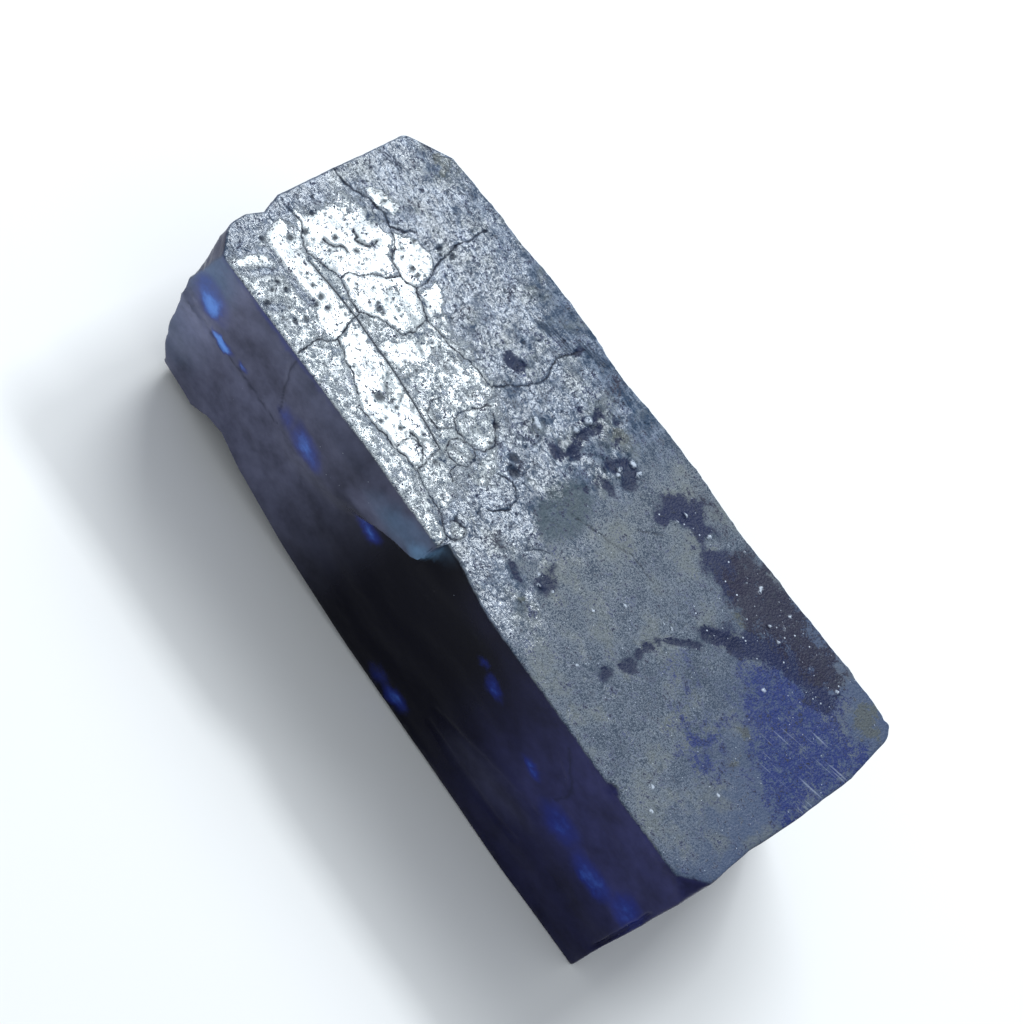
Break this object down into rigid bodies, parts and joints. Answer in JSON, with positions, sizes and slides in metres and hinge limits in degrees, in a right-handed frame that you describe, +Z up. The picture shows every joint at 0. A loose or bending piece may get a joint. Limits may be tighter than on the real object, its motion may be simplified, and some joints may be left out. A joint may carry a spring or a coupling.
{
  "type": "rough sapphire",
  "caption": "Rough dark blue sapphire: a long sawn bar with a crazed silvery skin on top, dark glassy sides, a hollow waist and one broken end.",
  "frame": {"origin": "middle of the flat base", "axes": "+Z up, +X along the bar towards its clean-cut end, -Y towards the dark glassy side that carries the step"},
  "size_m": [0.0814, 0.0336, 0.0245],
  "materials": {
    "dark_blue_crystal": "dark blue crystal: crazed silvery glaze over half of the top, fine frosting over the rest, glassy sawn sides with blue flashes"
  },
  "bodies": {
    "root": {"rough_sapphire": "dark_blue_crystal"}
  },
  "joints": []
}
